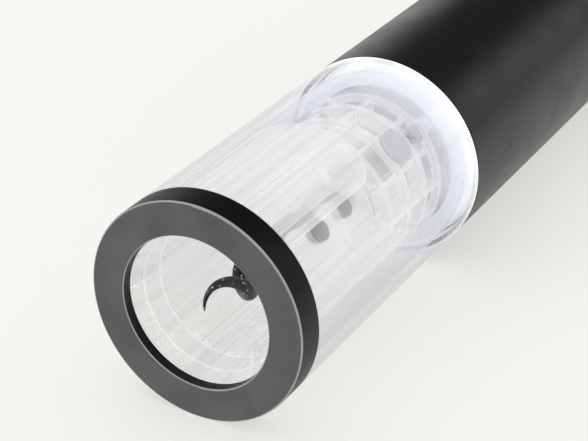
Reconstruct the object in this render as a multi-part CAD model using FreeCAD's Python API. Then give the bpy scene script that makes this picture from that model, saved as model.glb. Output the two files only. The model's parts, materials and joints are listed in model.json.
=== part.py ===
# Cordless electric wine opener, lying on its side.  Millimetres, +Z up.
# The long axis runs along +Y at the height AXIS_Z and the mouth faces -Y.  The origin is on the
# floor, midway along the body.  A "depth" is a distance along the axis from the mouth's face.
# Angles about the axis start at the top (+Z) and grow towards +X.
import FreeCAD, Part
import math
import os

Vector = FreeCAD.Vector

# Overall sizes
LENGTH = 268.0
BODY_R = 25.4
GRIP_START = 84.1           # where the clear tube ends and the grip begins
AXIS_Z = BODY_R
AXIS = Vector(0, 1, 0)

# Clearances
SLIP = 0.05                 # radial, between parts that slide together once
RUNNING = 0.03              # radial, between a shaft and its bush
LOOSE = 0.3                 # between curved faces of parts that move apart
END_PLAY = 0.4              # axial, between turning parts

# Front ring, clear tube and grip sleeve
RING_LENGTH = 7.0
RING_PLATE = 2.5
RING_HOLE_R = 17.55
RING_ROUNDING = 0.64
HOLE_ROUNDING = 0.4
EDGE_ROUNDING = 0.25        # moulded edges at the joints of the casing
TUBE_WALL = 2.4
SPIGOT_WALL = 1.05
SPIGOT_LENGTH = 5.0
SLEEVE_WALL = 1.9
CAP_THICKNESS = 6.0
CAP_ROUNDING = 2.0

# Bottle and cork guide
GUIDE_FLANGE = 1.6
LEAD_IN_R = 17.3
LEAD_IN_END_R = 16.5
LEAD_IN_DEPTH = 6.0
BAND_R = 16.15              # smooth band between lead-in and neck bore
BAND_END = 11.5
NECK_R = 15.8
NECK_DEPTH = 35.0
CHAMBER_R = 12.6
GUIDE_WALL = 1.5
GUIDE_END = 78.0
COVER_END = 49.0            # curved cover plate over the neck
COVER_HALF_ANGLE = 44.0
WEB_INSET_ANGLE = 3.0       # outer webs of the cover plate, inside its edges
COVER_ROUNDING = 5.0
COVER_SLOT = 0.6
COVER_SLOT_ANGLE = 14.0
RIM_R = 18.6
RIM_WIDTH = 1.6
RIM_FRONTS = [52.0, 60.5, 69.0]
CROWN_RIB = 1.07
CROWN_RIB_ANGLES = range(0, 360, 30)
PAD_R = 2.5                 # rubber pads that steady the neck and the cork
PAD_ANGLE = 53.5
PAD_PROUD = 0.9
NECK_PAD_DEPTH = 27.0
CORK_PAD_DEPTH = 42.0
LENS_R = 4.2                # side lenses over the crown
LENS_ANGLE = 43.0
LENS_DEPTH = 64.7
FLUTE_COUNT = 6
FLUTE_STEP = 11.0           # degrees between flutes
FLUTE_WIDTH = 1.9
FLUTE_HEIGHT = 0.7
RAIL_ANGLE = 140.0          # narrow rails either side of the flutes
RAIL_WIDTH = 0.8
FIN_THICKNESS = 1.4
FIN_GAP = 0.5               # between a fin's outer edge and the clear tube
SEAM_FIN_END = 50.0
SEAM_FIN_ROUNDING = 3.0
GUIDE_SCREW_CIRCLE = 16.2
GUIDE_BOSS_R = 2.4
SCREW_R = 1.0
SCREW_HEAD_R = 1.9
SCREW_HEAD_HEIGHT = 1.2
SCREW_GRIP = 6.0            # thread length in the piece that a screw bites
THREAD_CORE = 0.75          # share of a self-tapping screw's radius that its pilot hole has

# Worm
WORM_COIL_R = 2.85
WORM_WIRE_R = 1.9
WORM_POINT_R = 0.2
WORM_PITCH = 15.0
WORM_TIP_DEPTH = 5.95
WORM_TIP_ANGLE = 229.0
WORM_POINT_TURN = 0.68      # turns over which the point tapers
WORM_RUN_OUT = 1.15         # how far the coil's point end stands off the axis
WORM_RUN_OUT_ANGLE = 135.0
WORM_COLLAR_LENGTH = 6.0
WORM_COLLAR_WALL = 0.5      # collar outside the wire
WORM_COLLAR_BEVEL = 1.0
SPINDLE_R = 3.0
SPINDLE_GRIP = 5.0          # length of spindle inside the worm's collar
BUSH_WALL = 1.8
BUSH_FLANGE = 0.5
BUSH_FLANGE_WIDTH = 1.0
CLIP_THICKNESS = 0.8
CLIP_WIDTH = 1.6
CLIP_MOUTH = 2.4

# Lighting behind the guide
LIGHT_RING_WALL = 1.2
LIGHT_RING_DEPTH = 4.0
LED_COUNT = 6
LED_SIZE = 2.8
LED_HEIGHT = 1.0
LED_SEAT_HEIGHT = 1.5       # rim of the bulkhead that the lamp board sits on
BOARD_THICKNESS = 1.2

# Planetary gearbox, two like stages in one ring gear
MODULE = 0.6
SUN_TEETH = 12
PLANET_TEETH = 18
RING_TEETH = SUN_TEETH + 2 * PLANET_TEETH
PLANET_COUNT = 3
PRESSURE_ANGLE = math.radians(25)
ADDENDUM = 0.8 * MODULE
DEDENDUM = 1.05 * MODULE
BACKLASH = 0.12
FLANK_STEPS = 4
FACE_WIDTH = 8.0
PIN_R = 1.5
CARRIER_THICKNESS = 2.5
CARRIER_MARGIN = 2.0
BULKHEAD_THICKNESS = 4.0
GEARBOX_WALL = 4.4
MOTOR_PLATE = 2.5

# Motor
MOTOR_R = 13.8
MOTOR_CAN_LENGTH = 32.0
MOTOR_WALL = 1.0
MOTOR_BOSS_R = 5.0
MOTOR_BOSS_LENGTH = 1.5
MOTOR_CAP_LENGTH = 4.0
MOTOR_CAP_SPIGOT = 1.5
MOTOR_CAP_WALL = 1.2
TERMINAL_WIDTH = 2.4
TERMINAL_LENGTH = 4.0
TERMINAL_THICKNESS = 0.5
TERMINAL_CIRCLE = 8.0
MOTOR_SHAFT_R = 1.15
MAGNET_THICKNESS = 2.2
MAGNET_ARC = 130.0
AIR_GAP = 0.4
ROTOR_LENGTH = 20.0
ROTOR_START_GAP = 3.0       # between the can's front wall and the rotor's core
MAGNET_OVERHANG = 1.0       # magnets longer than the core at each end
WINDING_LENGTH = 2.0
WINDING_REACH = 0.85        # end turns' radius as a share of the core's
SHAFT_PROUD = 1.0           # shaft behind the rear bearing
ROTOR_POLES = 5
ROTOR_SLOT = 1.6
COMMUTATOR_R = 3.2
COMMUTATOR_LENGTH = 5.0
MOTOR_SCREW_CIRCLE = 8.0

# Chassis, cells and circuit board
CHASSIS_WALL = 1.5
CHASSIS_GAP = 0.2           # between chassis and sleeve
CHASSIS_RIB = 3.0
RIB_INSET = 4.0             # saddles inside the ends of what they carry
CELL_R = 9.1
CELL_LENGTH = 65.0
CELL_SPACING = 19.2
CELL_DROP = 8.0             # cells lie this far below the axis
CELL_START = 172.0
CELL_TERMINAL_R = 3.0
CELL_TERMINAL = 1.0
CONTACT_THICKNESS = 0.5
CONTACT_HALF_WIDTH = 3.0
END_PLATE = 2.5
MAIN_BOARD_Z = 12.0         # underside of the board above the axis
MAIN_BOARD_WIDTH = 32.0
BOARD_SCREW_INSET = 3.0
BOARD_SCREW_DEPTH = 4.0
SWITCH_SIZE = 6.0
SWITCH_HEIGHT = 3.5
PLUNGER_R = 1.7
PLUNGER_HEIGHT = 1.2

# Buttons
BUTTON_DEPTHS = {"up_button": 188.0, "down_button": 206.0}
BUTTON_R = 5.5
BUTTON_PROUD = 0.9
BUTTON_TRAVEL = 0.8
BUTTON_SKIRT = 1.0
BUTTON_ROUNDING = 0.4
BUTTON_DISH = 0.3           # depth of the dish in a button's top
BUTTON_DISH_R = 32.0
BEZEL_MARGIN = 2.6
BEZEL_LIP = 0.25
STEM_R = 1.6

# Rear end
SOCKET_R = 4.6
SOCKET_BORE_R = 2.75
SOCKET_PIN_R = 0.65
SOCKET_LENGTH = 14.0
SOCKET_BORE_DEPTH = 10.0
SOCKET_RECESS = 0.8
SOCKET_PIN_RECESS = 1.5
NUT_R = 7.0
NUT_HEIGHT = 3.0
REAR_SCREW_OFFSET = 15.0
REAR_SCREW_R = 1.4
REAR_HEAD_R = 2.6
REAR_BOSS_R = 3.2
REAR_PILOT_DEPTH = 8.0
REAR_SCREW_GRIP = 7.0

# Radii and stations that follow from the sizes above
TUBE_BORE_R = BODY_R - TUBE_WALL
SPIGOT_R = TUBE_BORE_R + SPIGOT_WALL
SOCKETED_R = SPIGOT_R + SLIP            # ring skirt and sleeve mouth, round the spigots
SLEEVE_BORE_R = BODY_R - SLEEVE_WALL
CHASSIS_R = SLEEVE_BORE_R - CHASSIS_GAP
CHASSIS_BORE_R = CHASSIS_R - CHASSIS_WALL
SLEEVE_END = LENGTH - CAP_THICKNESS
COLLAR_START = GUIDE_END
SPINDLE_START = COLLAR_START + WORM_COLLAR_LENGTH - SPINDLE_GRIP
BULKHEAD_START = GRIP_START + SPIGOT_LENGTH
GEARBOX_START = BULKHEAD_START + BULKHEAD_THICKNESS
GEARBOX_SCREW_TIP = BULKHEAD_START + BULKHEAD_THICKNESS / 4
OUTPUT_CARRIER = GEARBOX_START + END_PLAY
OUTPUT_PLANETS = OUTPUT_CARRIER + CARRIER_THICKNESS + END_PLAY
INPUT_CARRIER = OUTPUT_PLANETS + FACE_WIDTH + 1.5 * END_PLAY
INPUT_PLANETS = INPUT_CARRIER + CARRIER_THICKNESS + END_PLAY
GEARBOX_END = INPUT_PLANETS + FACE_WIDTH + 2.5 * END_PLAY
MOTOR_START = GEARBOX_END + MOTOR_PLATE
MOTOR_CAP = MOTOR_START + MOTOR_CAN_LENGTH
MOTOR_END = MOTOR_CAP + MOTOR_CAP_LENGTH
ROTOR_R = MOTOR_R - MOTOR_WALL - MAGNET_THICKNESS - AIR_GAP
SUN_PITCH_R = MODULE * SUN_TEETH / 2
PLANET_PITCH_R = MODULE * PLANET_TEETH / 2
RING_PITCH_R = MODULE * RING_TEETH / 2
PLANET_CIRCLE = SUN_PITCH_R + PLANET_PITCH_R
CARRIER_R = PLANET_CIRCLE + PIN_R + CARRIER_MARGIN
GEARBOX_R = max(RING_PITCH_R + DEDENDUM, MOTOR_R) + GEARBOX_WALL
GEARBOX_SCREW_CIRCLE = GEARBOX_R - GEARBOX_WALL / 2
PLANET_ANGLES = [360.0 * i / PLANET_COUNT for i in range(PLANET_COUNT)]
GUIDE_SCREW_ANGLES = [45.0, 135.0, 225.0, 315.0]
GEARBOX_SCREW_ANGLES = [60.0, 180.0, 300.0]
MOTOR_SCREW_ANGLES = [90.0, 270.0]
LED_RING_OUTER = TUBE_BORE_R - FIN_GAP
LED_RING_INNER = RIM_R + LOOSE
LED_BOARD_END = BULKHEAD_START - LED_SEAT_HEIGHT
LED_BOARD_START = LED_BOARD_END - BOARD_THICKNESS
CELL_END = CELL_START + CELL_LENGTH
CRADLE_FRONT = CELL_START - CELL_TERMINAL - CONTACT_THICKNESS - END_PLATE
CRADLE_REAR = CELL_END + CONTACT_THICKNESS
CHASSIS_END = CRADLE_REAR + END_PLATE
BOARD_TOP_Z = MAIN_BOARD_Z + BOARD_THICKNESS


def y_of(depth):
    """Y coordinate of a depth."""
    return depth - LENGTH / 2


def polar(radius, angle):
    """X and height above the axis of a point at an angle in degrees about the axis."""
    return radius * math.sin(math.radians(angle)), radius * math.cos(math.radians(angle))


def rod(radius, start, end, x=0.0, z=0.0):
    """Cylinder along the axis between two depths."""
    return Part.makeCylinder(radius, end - start, Vector(x, y_of(start), AXIS_Z + z), AXIS)


def pipe(outer, inner, start, end, x=0.0, z=0.0):
    """Tube along the axis between two depths."""
    return rod(outer, start, end, x, z).cut(rod(inner, start, end, x, z))


def block(x_range, depth_range, z_range):
    """Box between two x values, two depths and two heights above the axis."""
    corner = Vector(x_range[0], y_of(depth_range[0]), AXIS_Z + z_range[0])
    return Part.makeBox(x_range[1] - x_range[0], depth_range[1] - depth_range[0],
                        z_range[1] - z_range[0], corner)


def turned(outline):
    """Solid of revolution from (depth, radius) corners."""
    corners = [Vector(radius, y_of(depth), AXIS_Z) for depth, radius in outline]
    face = Part.Face(Part.makePolygon(corners + corners[:1]))
    return face.revolve(Vector(0, 0, AXIS_Z), AXIS, 360)


def spun(shape, angle):
    """Copy turned about the body's axis."""
    copy = shape.copy()
    copy.rotate(Vector(0, 0, AXIS_Z), AXIS, angle)
    return copy


def joined(shapes):
    """One shape fused from several, with its seams cleaned."""
    fused = shapes[0].multiFuse(shapes[1:]) if len(shapes) > 1 else shapes[0]
    return fused.removeSplitter()


def plug(radius, x, depth, bottom, top):
    """Upright cylinder between two heights above the axis."""
    return Part.makeCylinder(radius, top - bottom, Vector(x, y_of(depth), AXIS_Z + bottom))


def half_space(sign):
    """Box that covers everything above (+1) or below (-1) the axis."""
    reach = 2 * BODY_R
    heights = (0, reach) if sign > 0 else (-reach, 0)
    return block((-reach, reach), (-reach, LENGTH + reach), heights)


def at_angles(maker, circle, angles):
    """Separate solids made at points round the axis."""
    return Part.Compound([maker(*polar(circle, angle)) for angle in angles])


def screw(x, z, head_start, length, shank_r, head_r, direction=1):
    """Screw along the axis, with its head towards the mouth (1) or the rear (-1)."""
    head_end = head_start + direction * SCREW_HEAD_HEIGHT
    tip = head_end + direction * length
    slot_depth = SCREW_HEAD_HEIGHT / 2
    head = rod(head_r, *sorted((head_start, head_end)), x, z)
    shank = rod(shank_r, *sorted((head_end, tip)), x, z)
    slot_range = sorted((head_start, head_start + direction * slot_depth))
    slots = [block((x - a, x + a), slot_range, (z - b, z + b))
             for a, b in ((0.6 * head_r, 0.15 * head_r), (0.15 * head_r, 0.6 * head_r))]
    return head.fuse(shank).cut(slots[0]).cut(slots[1])


# ---- gear teeth ----

def involute(angle):
    """Involute function of a pressure angle in radians."""
    return math.tan(angle) - angle


def flank(base, radius, pitch_half_angle):
    """Half angle of a tooth at a radius."""
    local = math.acos(min(1.0, base / radius))
    return pitch_half_angle + involute(PRESSURE_ANGLE) - involute(local)


def gear_outline(teeth, tip_r, root_r, pitch_half_angle, phase):
    """Closed list of (radius, angle in radians) corners round a gear."""
    base = MODULE * teeth / 2 * math.cos(PRESSURE_ANGLE)
    inner = max(root_r, base)
    radii = [inner + (tip_r - inner) * i / FLANK_STEPS for i in range(FLANK_STEPS + 1)]
    rising = [(r, -flank(base, r, pitch_half_angle)) for r in radii]
    if root_r < inner:
        rising.insert(0, (root_r, rising[0][1]))
    falling = [(r, -angle) for r, angle in reversed(rising)]
    corners = []
    for tooth in range(teeth):
        centre = phase + 2 * math.pi * tooth / teeth
        corners += [(r, centre + angle) for r, angle in rising + falling]
    return corners


def gear_prism(outline, start, end, x, z):
    """Straight prism of a gear outline about an axis at x, z."""
    corners = [Vector(x + r * math.sin(a), y_of(start), AXIS_Z + z + r * math.cos(a)) for r, a in outline]
    face = Part.Face(Part.makePolygon(corners + corners[:1]))
    return face.extrude(AXIS * (end - start))


def outside_gear(teeth, start, end, phase=0.0, x=0.0, z=0.0):
    """Spur gear with outside teeth, one of them centred on the phase angle."""
    pitch_r = MODULE * teeth / 2
    half_angle = math.pi / (2 * teeth) - BACKLASH / (4 * pitch_r)
    outline = gear_outline(teeth, pitch_r + ADDENDUM, pitch_r - DEDENDUM, half_angle, phase)
    return gear_prism(outline, start, end, x, z)


def ring_space(start, end):
    """Space inside the ring gear, with a tooth of the ring centred at the top."""
    half_angle = math.pi / (2 * RING_TEETH) + BACKLASH / (4 * RING_PITCH_R)
    phase = math.pi / RING_TEETH
    tip_r, root_r = RING_PITCH_R + DEDENDUM, RING_PITCH_R - ADDENDUM
    outline = gear_outline(RING_TEETH, tip_r, root_r, half_angle, phase)
    return gear_prism(outline, start, end, 0.0, 0.0)


# ---- front ----

def rounded(shape, depth, radius, rounding):
    """Shape with the circular edges at one depth and radius rounded."""
    edges = [edge for edge in shape.Edges if isinstance(edge.Curve, Part.Circle)
             and abs(edge.Curve.Center.y - y_of(depth)) < SLIP and abs(edge.Curve.Radius - radius) < SLIP]
    return shape.makeFillet(rounding, edges)


def end_ring():
    """Front ring: a flat lip with a skirt round the tube's spigot."""
    body = turned([(0, RING_HOLE_R), (RING_PLATE, RING_HOLE_R), (RING_PLATE, SOCKETED_R),
                   (RING_LENGTH, SOCKETED_R), (RING_LENGTH, BODY_R), (0, BODY_R)])
    body = rounded(body, 0, BODY_R, RING_ROUNDING)
    body = rounded(body, 0, RING_HOLE_R, HOLE_ROUNDING)
    return rounded(body, RING_LENGTH, BODY_R, EDGE_ROUNDING)


def clear_tube():
    """Clear window tube with a stepped spigot at each end."""
    front = RING_PLATE + GUIDE_FLANGE
    tube = turned([(front, TUBE_BORE_R), (front, SPIGOT_R), (RING_LENGTH, SPIGOT_R), (RING_LENGTH, BODY_R),
                   (GRIP_START, BODY_R), (GRIP_START, SPIGOT_R), (BULKHEAD_START, SPIGOT_R),
                   (BULKHEAD_START, TUBE_BORE_R)])
    tube = rounded(tube, RING_LENGTH, BODY_R, EDGE_ROUNDING)
    return rounded(tube, GRIP_START, BODY_R, EDGE_ROUNDING)


def guide_shell():
    """Neck funnel, stop ledge and cork chamber before it is split into halves."""
    flange_back = RING_PLATE + GUIDE_FLANGE
    neck_outer = NECK_R + GUIDE_WALL
    chamber_outer = CHAMBER_R + GUIDE_WALL
    lead_outer = LEAD_IN_R + GUIDE_WALL
    return turned([(RING_PLATE, LEAD_IN_R), (LEAD_IN_DEPTH, LEAD_IN_END_R), (LEAD_IN_DEPTH, BAND_R),
                   (BAND_END, BAND_R), (BAND_END, NECK_R), (NECK_DEPTH, NECK_R),
                   (NECK_DEPTH, CHAMBER_R), (GUIDE_END, CHAMBER_R), (GUIDE_END, chamber_outer),
                   (NECK_DEPTH + GUIDE_WALL, chamber_outer), (NECK_DEPTH + GUIDE_WALL, neck_outer),
                   (LEAD_IN_DEPTH, neck_outer), (flange_back, lead_outer), (flange_back, SPIGOT_R),
                   (RING_PLATE, SPIGOT_R)])


def fin(end, rounding):
    """Radial stiffening fin at the top of the guide, its rear corner rounded."""
    start = RING_PLATE + GUIDE_FLANGE / 2
    height = TUBE_BORE_R - FIN_GAP
    width = (-FIN_THICKNESS / 2, FIN_THICKNESS / 2)
    plate = block(width, (start, end), (CHAMBER_R + GUIDE_WALL / 2, height))
    corner = Vector(0, y_of(end), AXIS_Z + height)
    edges = [edge for edge in plate.Edges if edge.CenterOfMass.distanceToPoint(corner) < FIN_THICKNESS / 4]
    plate = plate.makeFillet(rounding, edges)
    return plate.cut(rod(NECK_R + GUIDE_WALL / 2, 0, NECK_DEPTH + GUIDE_WALL / 2))


def cover_plate():
    """Curved plate over the neck: outer skin, slots and the webs that carry it."""
    outer = TUBE_BORE_R - FIN_GAP
    start = RING_PLATE + GUIDE_FLANGE / 2
    skin = pipe(outer, outer - FIN_THICKNESS, start, COVER_END)
    reach = 2 * BODY_R
    corner_round = plug(COVER_ROUNDING, 0, COVER_END - COVER_ROUNDING, 0, reach)
    half_width = outer * math.sin(math.radians(COVER_HALF_ANGLE))
    corner_x = half_width - COVER_ROUNDING
    outline = [block((-half_width, half_width), (start, COVER_END - COVER_ROUNDING), (0, reach)),
               block((-corner_x, corner_x), (start, COVER_END), (0, reach))]
    outline += [corner_round.translated(Vector(side * corner_x, 0, 0)) for side in (-1, 1)]
    skin = skin.common(joined(outline))
    slot = block((-COVER_SLOT / 2, COVER_SLOT / 2), (start + GUIDE_FLANGE, COVER_END - COVER_ROUNDING),
                 (outer - FIN_THICKNESS, outer))
    for side in (-1, 1):
        skin = skin.cut(spun(slot, side * COVER_SLOT_ANGLE))
    web_end = COVER_END - COVER_ROUNDING
    web = block((-FIN_THICKNESS / 2, FIN_THICKNESS / 2), (start, web_end),
                (CHAMBER_R + GUIDE_WALL / 2, outer - FIN_THICKNESS / 2))
    web = web.cut(rod(NECK_R + GUIDE_WALL / 2, 0, NECK_DEPTH + GUIDE_WALL / 2))
    web_angle = COVER_HALF_ANGLE - WEB_INSET_ANGLE
    webs = [spun(web, angle) for angle in (-web_angle, 0, web_angle)]
    return [skin] + webs


def crown():
    """Three rims joined by ribs round the cork chamber, with a boss for each screw."""
    core = CHAMBER_R + GUIDE_WALL / 2
    front, middle, back = [pipe(RIM_R, core, start, start + GUIDE_FLANGE) for start in RIM_FRONTS]
    middle = middle.cut(rod(RIM_R - RIM_WIDTH, 0, LENGTH))
    rear = GUIDE_END - GUIDE_FLANGE
    rib = block((-CROWN_RIB / 2, CROWN_RIB / 2), (RIM_FRONTS[0], GUIDE_END), (core, RIM_R - RIM_WIDTH / 2))
    ribs = [spun(rib, angle) for angle in CROWN_RIB_ANGLES]
    bosses = [rod(GUIDE_BOSS_R, rear, GUIDE_END, *polar(GUIDE_SCREW_CIRCLE, angle))
              for angle in GUIDE_SCREW_ANGLES]
    last = pipe(RIM_R, RIM_R - RIM_WIDTH, rear, GUIDE_END)
    whole = joined([front, middle, back, last] + ribs + bosses)
    for angle in GUIDE_SCREW_ANGLES:
        x, z = polar(GUIDE_SCREW_CIRCLE, angle)
        whole = whole.cut(rod(SCREW_HEAD_R + LOOSE, rear - SCREW_HEAD_HEIGHT - LOOSE, rear, x, z))
    return whole.cut(rod(core, 0, GUIDE_END))


def radial(radius, angle, depth, inner, outer):
    """Cylinder that points away from the axis at an angle and a depth."""
    return spun(plug(radius, 0, depth, inner, outer), angle)


def pad_places():
    """Depth, wall radius and angle of each rubber pad."""
    return [(depth, wall, side * PAD_ANGLE) for side in (-1, 1)
            for depth, wall in ((NECK_PAD_DEPTH, NECK_R), (CORK_PAD_DEPTH, CHAMBER_R))]


def guide_pads():
    """Rubber pads set through the upper half's wall."""
    pads = []
    for depth, wall, angle in pad_places():
        pad = radial(PAD_R, angle, depth, 0, wall + GUIDE_WALL + PAD_PROUD)
        pads.append(pad.cut(rod(wall, 0, LENGTH)))
    return Part.Compound(pads)


def side_lenses():
    """Round lenses seated on the crown's ribs, one each side of the top."""
    lenses = []
    for side in (-1, 1):
        lens = radial(LENS_R, side * LENS_ANGLE, LENS_DEPTH, 0, RIM_R + PAD_PROUD)
        lenses.append(lens.cut(rod(RIM_R, 0, LENGTH)))
    return Part.Compound(lenses)


def flutes():
    """Broad flutes along the lower side of the neck bore, between two narrow rails."""
    first = 180 - FLUTE_STEP * (FLUTE_COUNT - 1) / 2
    heights = (NECK_R - FLUTE_HEIGHT, NECK_R + GUIDE_WALL / 2)
    flute = block((-FLUTE_WIDTH / 2, FLUTE_WIDTH / 2), (BAND_END, NECK_DEPTH), heights)
    rail = block((-RAIL_WIDTH / 2, RAIL_WIDTH / 2), (LEAD_IN_DEPTH, NECK_DEPTH), heights)
    return ([spun(flute, first + FLUTE_STEP * i) for i in range(FLUTE_COUNT)]
            + [spun(rail, side * RAIL_ANGLE) for side in (-1, 1)])


def guide_half(sign):
    """Upper (+1) or lower (-1) half of the guide."""
    pieces = [guide_shell(), crown()]
    seam_plate = spun(fin(SEAM_FIN_END, SEAM_FIN_ROUNDING), 90)
    pieces += [seam_plate, spun(seam_plate, 180)]
    pieces += cover_plate() if sign > 0 else flutes()
    half = joined(pieces).common(half_space(sign))
    holes = at_angles(lambda x, z: rod(SCREW_R, GUIDE_END - GUIDE_FLANGE, GUIDE_END, x, z),
                      GUIDE_SCREW_CIRCLE, GUIDE_SCREW_ANGLES)
    half = half.cut(holes)
    if sign > 0:
        for depth, _, angle in pad_places():
            half = half.cut(radial(PAD_R, angle, depth, 0, NECK_R + GUIDE_WALL + PAD_PROUD))
    return half


def guide_screws():
    """Screws that hold the guide to the bulkhead's posts."""
    head = GUIDE_END - GUIDE_FLANGE - SCREW_HEAD_HEIGHT
    return at_angles(lambda x, z: screw(x, z, head, GUIDE_FLANGE + SCREW_GRIP, SCREW_R, SCREW_HEAD_R),
                     GUIDE_SCREW_CIRCLE, GUIDE_SCREW_ANGLES)


def light_ring():
    """Translucent ring in front of the lamps."""
    front = LED_BOARD_START - LIGHT_RING_DEPTH
    whole = pipe(LED_RING_OUTER, LED_RING_INNER, front, LED_BOARD_START)
    hollow = pipe(LED_RING_OUTER - LIGHT_RING_WALL, LED_RING_INNER, front + LIGHT_RING_WALL, LED_BOARD_START)
    return whole.cut(hollow)


def led_board():
    """Ring-shaped circuit board that carries the lamps."""
    return pipe(LED_RING_OUTER, LED_RING_INNER, LED_BOARD_START, LED_BOARD_END)


def leds():
    """Lamps on the ring-shaped board."""
    middle = (LED_RING_OUTER - LIGHT_RING_WALL + LED_RING_INNER) / 2
    half = min(LED_SIZE, LED_RING_OUTER - LED_RING_INNER - LIGHT_RING_WALL - SLIP) / 2
    lamp = block((-LED_SIZE / 2, LED_SIZE / 2), (LED_BOARD_START - LED_HEIGHT, LED_BOARD_START),
                 (middle - half, middle + half))
    return Part.Compound([spun(lamp, 360.0 * i / LED_COUNT) for i in range(LED_COUNT)])


# ---- drive ----

def worm():
    """Right-handed worm with a sharp point and a crimped collar."""
    top = COLLAR_START + WORM_COLLAR_LENGTH / 2
    turns = (top - WORM_TIP_DEPTH) / WORM_PITCH
    point_height = WORM_POINT_TURN * WORM_PITCH
    lean = math.atan2(WORM_PITCH, 2 * math.pi * WORM_COIL_R)

    def ring(turn, radius):
        """Wire circle of the rod's section at a number of turns from the point."""
        angle = 2 * math.pi * turn
        centre = Vector(WORM_COIL_R * math.cos(angle), WORM_COIL_R * math.sin(angle), turn * WORM_PITCH)
        along = Vector(-math.sin(angle) * math.cos(lean), math.cos(angle) * math.cos(lean), math.sin(lean))
        return Part.Wire(Part.makeCircle(radius, centre, along))

    point_path = Part.makeHelix(WORM_PITCH, point_height, WORM_COIL_R)
    point = point_path.makePipeShell([ring(0, WORM_POINT_R), ring(WORM_POINT_TURN, WORM_WIRE_R)], True, True)
    coil_path = Part.makeHelix(WORM_PITCH, (turns - WORM_POINT_TURN) * WORM_PITCH, WORM_COIL_R)
    coil_path.rotate(Vector(0, 0, 0), Vector(0, 0, 1), 360 * WORM_POINT_TURN)
    coil_path.translate(Vector(0, 0, point_height))
    coil = coil_path.makePipeShell([ring(WORM_POINT_TURN, WORM_WIRE_R)], True, True)
    rod_shape = point.fuse(coil)
    rod_shape.rotate(Vector(0, 0, 0), Vector(1, 0, 0), -90)
    rod_shape.rotate(Vector(0, 0, 0), AXIS, WORM_TIP_ANGLE - 90)
    rod_shape.translate(Vector(0, y_of(WORM_TIP_DEPTH), AXIS_Z))
    lean_angle = math.degrees(math.atan2(WORM_RUN_OUT, COLLAR_START - WORM_TIP_DEPTH))
    across_x, across_z = polar(1, WORM_RUN_OUT_ANGLE - 90)
    rod_shape.rotate(Vector(0, y_of(COLLAR_START), AXIS_Z), Vector(across_x, 0, across_z), lean_angle)
    outer = WORM_COIL_R + WORM_WIRE_R + WORM_COLLAR_WALL
    end = COLLAR_START + WORM_COLLAR_LENGTH
    collar = turned([(COLLAR_START, 0), (COLLAR_START, outer - WORM_COLLAR_BEVEL),
                     (COLLAR_START + WORM_COLLAR_BEVEL, outer), (end, outer), (end, 0)])
    return rod_shape.fuse(collar).cut(rod(SPINDLE_R, SPINDLE_START, end))


def spindle():
    """Shaft between the worm and the output carrier, with a groove for its clip."""
    shaft = rod(SPINDLE_R, SPINDLE_START, OUTPUT_CARRIER + CARRIER_THICKNESS)
    groove = pipe(SPINDLE_R, SPINDLE_R - CLIP_WIDTH / 3, *clip_range())
    return shaft.cut(groove)


def clip_range():
    """Depths of the spindle clip, just in front of the bush."""
    end = BULKHEAD_START - BUSH_FLANGE - END_PLAY / 2
    return end - CLIP_THICKNESS, end


def spindle_clip():
    """Open retaining clip in the spindle's groove."""
    start, end = clip_range()
    inner = SPINDLE_R - CLIP_WIDTH / 3
    ring = pipe(inner + CLIP_WIDTH, inner, start, end)
    return ring.cut(block((-CLIP_MOUTH / 2, CLIP_MOUTH / 2), (start, end), (0, 2 * SPINDLE_R)))


def spindle_bush():
    """Flanged sleeve bearing in the bulkhead."""
    bore = SPINDLE_R + RUNNING
    outer = SPINDLE_R + BUSH_WALL
    flange = outer + BUSH_FLANGE_WIDTH
    front = BULKHEAD_START - BUSH_FLANGE
    return turned([(front, bore), (front, flange), (BULKHEAD_START, flange), (BULKHEAD_START, outer),
                   (GEARBOX_START, outer), (GEARBOX_START, bore)])


def bulkhead():
    """Front frame: carries the bush, the guide posts and the lamp board's rim."""
    disc = rod(CHASSIS_R, BULKHEAD_START, GEARBOX_START)
    seat = pipe(LED_RING_OUTER, LED_RING_INNER, LED_BOARD_END, BULKHEAD_START)
    posts = [rod(GUIDE_BOSS_R, GUIDE_END, BULKHEAD_START, *polar(GUIDE_SCREW_CIRCLE, angle))
             for angle in GUIDE_SCREW_ANGLES]
    whole = joined([disc, seat] + posts)
    whole = whole.cut(rod(SPINDLE_R + BUSH_WALL + SLIP, BULKHEAD_START, GEARBOX_START))
    for angle in GUIDE_SCREW_ANGLES:
        whole = whole.cut(rod(SCREW_R, GUIDE_END, GUIDE_END + SCREW_GRIP, *polar(GUIDE_SCREW_CIRCLE, angle)))
    for angle in GEARBOX_SCREW_ANGLES:
        place = polar(GEARBOX_SCREW_CIRCLE, angle)
        whole = whole.cut(rod(SCREW_R, GEARBOX_SCREW_TIP, GEARBOX_START, *place))
    return whole


def ring_gear():
    """Gearbox housing with the ring gear's teeth cut through it."""
    housing = rod(GEARBOX_R, GEARBOX_START, GEARBOX_END)
    housing = housing.cut(ring_space(GEARBOX_START, GEARBOX_END))
    for angle in GEARBOX_SCREW_ANGLES:
        housing = housing.cut(rod(SCREW_R, GEARBOX_START, GEARBOX_END, *polar(GEARBOX_SCREW_CIRCLE, angle)))
    return housing


def output_carrier():
    """Carrier plate on the spindle."""
    plate = pipe(CARRIER_R, SPINDLE_R, OUTPUT_CARRIER, OUTPUT_CARRIER + CARRIER_THICKNESS)
    return plate.cut(carrier_pins(OUTPUT_CARRIER))


def carrier_pins(carrier_start):
    """Planet pins of one stage, set halfway through their carrier."""
    start = carrier_start + CARRIER_THICKNESS / 2
    end = carrier_start + CARRIER_THICKNESS + END_PLAY + FACE_WIDTH + END_PLAY / 2
    return at_angles(lambda x, z: rod(PIN_R, start, end, x, z), PLANET_CIRCLE, PLANET_ANGLES)


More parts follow.
